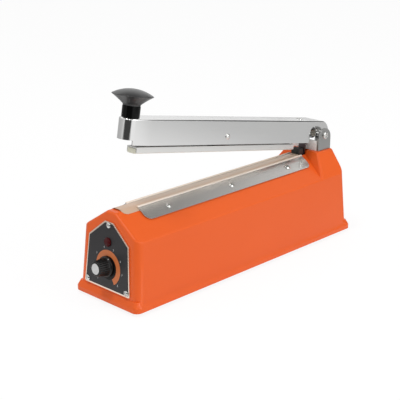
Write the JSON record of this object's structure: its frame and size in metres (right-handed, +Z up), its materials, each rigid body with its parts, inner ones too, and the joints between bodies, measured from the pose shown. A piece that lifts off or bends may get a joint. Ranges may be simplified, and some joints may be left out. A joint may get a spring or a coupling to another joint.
{
  "type": "hand impulse sealer",
  "caption": "Table-top hand impulse sealer: gabled moulded housing, timer panel on the front, hinged steel arm with a mushroom knob and a rocking pressure bar over a narrow heated bed.",
  "frame": {"origin": "under the middle of the whole part at rest, on the surface that its feet stand on", "axes": "+X across the machine to the right seen from the timer panel, +Y along it from the timer panel to the arm's hinge, +Z up"},
  "size_m": [0.083, 0.3124, 0.187],
  "materials": {
    "orange_plastic": "satin moulded ABS",
    "black_plastic": "moulded, fine texture",
    "knob_black": "polished phenolic",
    "arm_steel": "brushed and bright plated",
    "bracket_steel": "zinc plated sheet",
    "screw_steel": "bright plated",
    "strip_aluminium": "satin anodised",
    "bar_aluminium": "satin extruded",
    "panel_aluminium": "satin sheet",
    "panel_film": "printed film",
    "ptfe_glass_cloth": "coated glass cloth",
    "glass_tape": "adhesive glass cloth tape",
    "phenolic": "laminated phenolic board",
    "nichrome": "rolled ribbon",
    "brass": "turned",
    "silicone": "translucent silicone",
    "rubber_black": "moulded",
    "red_lens": "transparent red",
    "cap_white": "polished",
    "striker_steel": "dark plated",
    "spring_steel": "oiled spring wire",
    "lamination": "varnished silicon steel",
    "copper_winding": "enamelled copper under tape",
    "nylon_natural": "moulded nylon",
    "board_green": "solder resist",
    "component_blue": "sleeved"
  },
  "bodies": {
    "base": {"housing": "orange_plastic", "base_plate": "bracket_steel", "rubber_feet": "rubber_black", "base_screws": "screw_steel", "transformer_core": "lamination", "transformer_bobbin": "nylon_natural", "primary_winding": "copper_winding", "secondary_winding": "copper_winding", "transformer_strap": "bracket_steel", "transformer_screws": "screw_steel", "sealing_bed": "phenolic", "insulation_tape": "glass_tape", "heating_element": "nichrome", "element_terminals": "brass", "terminal_screws": "screw_steel", "terminal_cover": "black_plastic", "ptfe_cloth": "ptfe_glass_cloth", "cover_strip_right": "strip_aluminium", "cover_strip_left": "strip_aluminium", "strip_screws": "screw_steel", "hinge_bracket": "bracket_steel", "bracket_screws": "screw_steel", "pivot_pin": "screw_steel", "pivot_nut": "screw_steel", "pivot_spacers": "nylon_natural", "spring_sleeve": "nylon_natural", "front_panel": "panel_aluminium", "panel_overlay": "panel_film", "panel_screws": "screw_steel", "indicator_lens": "red_lens", "lamp_holder": "black_plastic", "timer_body": "bracket_steel", "timer_nut": "brass", "circuit_board": "board_green", "board_relay": "black_plastic", "board_capacitor": "component_blue", "board_triac": "black_plastic", "switch_body": "black_plastic", "switch_bracket": "bracket_steel", "switch_screws": "screw_steel", "switch_bracket_screws": "screw_steel", "cord_grommet": "rubber_black"},
    "arm": {"arm_channel": "arm_steel", "rocker_screw": "screw_steel", "rocker_nut": "screw_steel", "rocker_spacers": "nylon_natural", "handle_knob": "knob_black", "handle_washer": "screw_steel", "handle_screw": "screw_steel", "striker": "striker_steel", "striker_rivets": "screw_steel", "return_spring": "spring_steel"},
    "pressure_bar": {"pressure_bar": "bar_aluminium", "silicone_strip": "silicone", "rocker_lug": "bracket_steel"},
    "timer_knob": {"timer_knob": "knob_black", "timer_knob_cap": "cap_white", "timer_shaft": "brass"},
    "switch_plunger": {"switch_plunger": "nylon_natural"}
  },
  "joints": [
    {"name": "arm", "type": "hinge", "parent": "base", "child": "arm", "pos_m": [0, 0.13648, 0.1024], "axis": [1, 0, 0], "range_deg": [0, 10.45], "stiffness_Nm_per_rad": 0.5, "springref_deg": -48.7},
    {"name": "pressure_bar", "type": "hinge", "parent": "arm", "child": "pressure_bar", "pos_m": [0, -0.00258, 0.12632], "axis": [1, 0, 0], "range_deg": [-0.25, 0.25]},
    {"name": "timer_knob", "type": "hinge", "parent": "base", "child": "timer_knob", "pos_m": [0, -0.14031, 0.03491], "axis": [0, -0.9962, 0.0872], "range_deg": [-140, 140]},
    {"name": "switch_plunger", "type": "slide", "parent": "base", "child": "switch_plunger", "axis": [0, 0, 1], "range_m": [-0.0012, 0], "stiffness_N_per_m": 400, "springref_m": 0.002}
  ]
}
